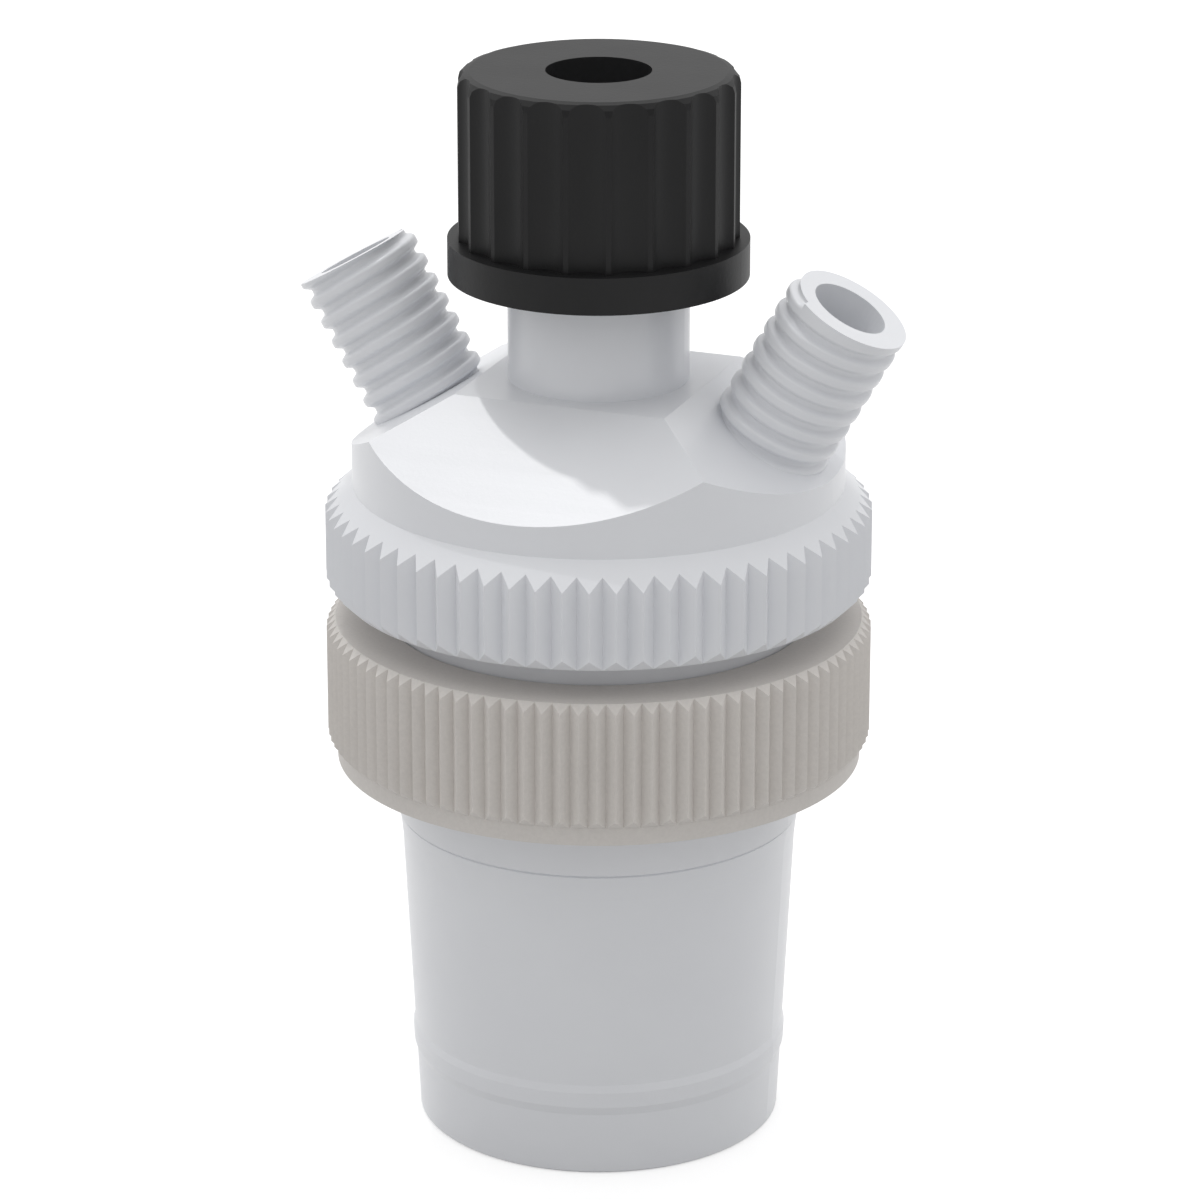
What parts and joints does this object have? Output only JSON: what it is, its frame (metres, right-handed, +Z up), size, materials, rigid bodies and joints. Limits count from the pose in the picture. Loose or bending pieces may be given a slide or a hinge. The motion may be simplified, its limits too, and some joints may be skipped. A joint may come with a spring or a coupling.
{
  "type": "distribution adapter",
  "caption": "Fluoropolymer adapter for a ground joint, with a fluted screw cap over the central tube passage, two tilted threaded side ports, a knurled flange and a removal nut.",
  "frame": {"origin": "centre of the taper's small end, on which the adapter stands", "axes": "+Z up along the taper's axis, +X towards the side port on the right, -Y towards the plain front facet"},
  "size_m": [0.0704, 0.0614, 0.1227],
  "materials": {
    "white_ptfe": "satin",
    "beige_filled_ptfe": "matte",
    "black_plastic": "satin",
    "dark_elastomer": "matte"
  },
  "bodies": {
    "adapter": {"adapter_body": "white_ptfe", "sealing_ring": "dark_elastomer"},
    "nut": {"removal_nut": "beige_filled_ptfe"},
    "ring": {"clamping_ring": "white_ptfe"},
    "cap": {"screw_cap": "black_plastic"}
  },
  "joints": [
    {"name": "nut_travel", "type": "slide", "parent": "adapter", "child": "nut", "axis": [0, 0, 1], "range_m": [-0.006, 0.0035]},
    {"name": "ring_lift", "type": "slide", "parent": "adapter", "child": "ring", "axis": [0, 0, 1], "range_m": [0, 0.00875]},
    {"name": "cap_turn", "type": "hinge", "parent": "ring", "child": "cap", "pos_m": [0, 0, 0.11], "axis": [0, 0, 1], "range_deg": [0, 900]}
  ],
  "couplings": [
    {"joint": "ring_lift", "follows": "cap_turn", "m_per_rad": 0.00055704}
  ]
}
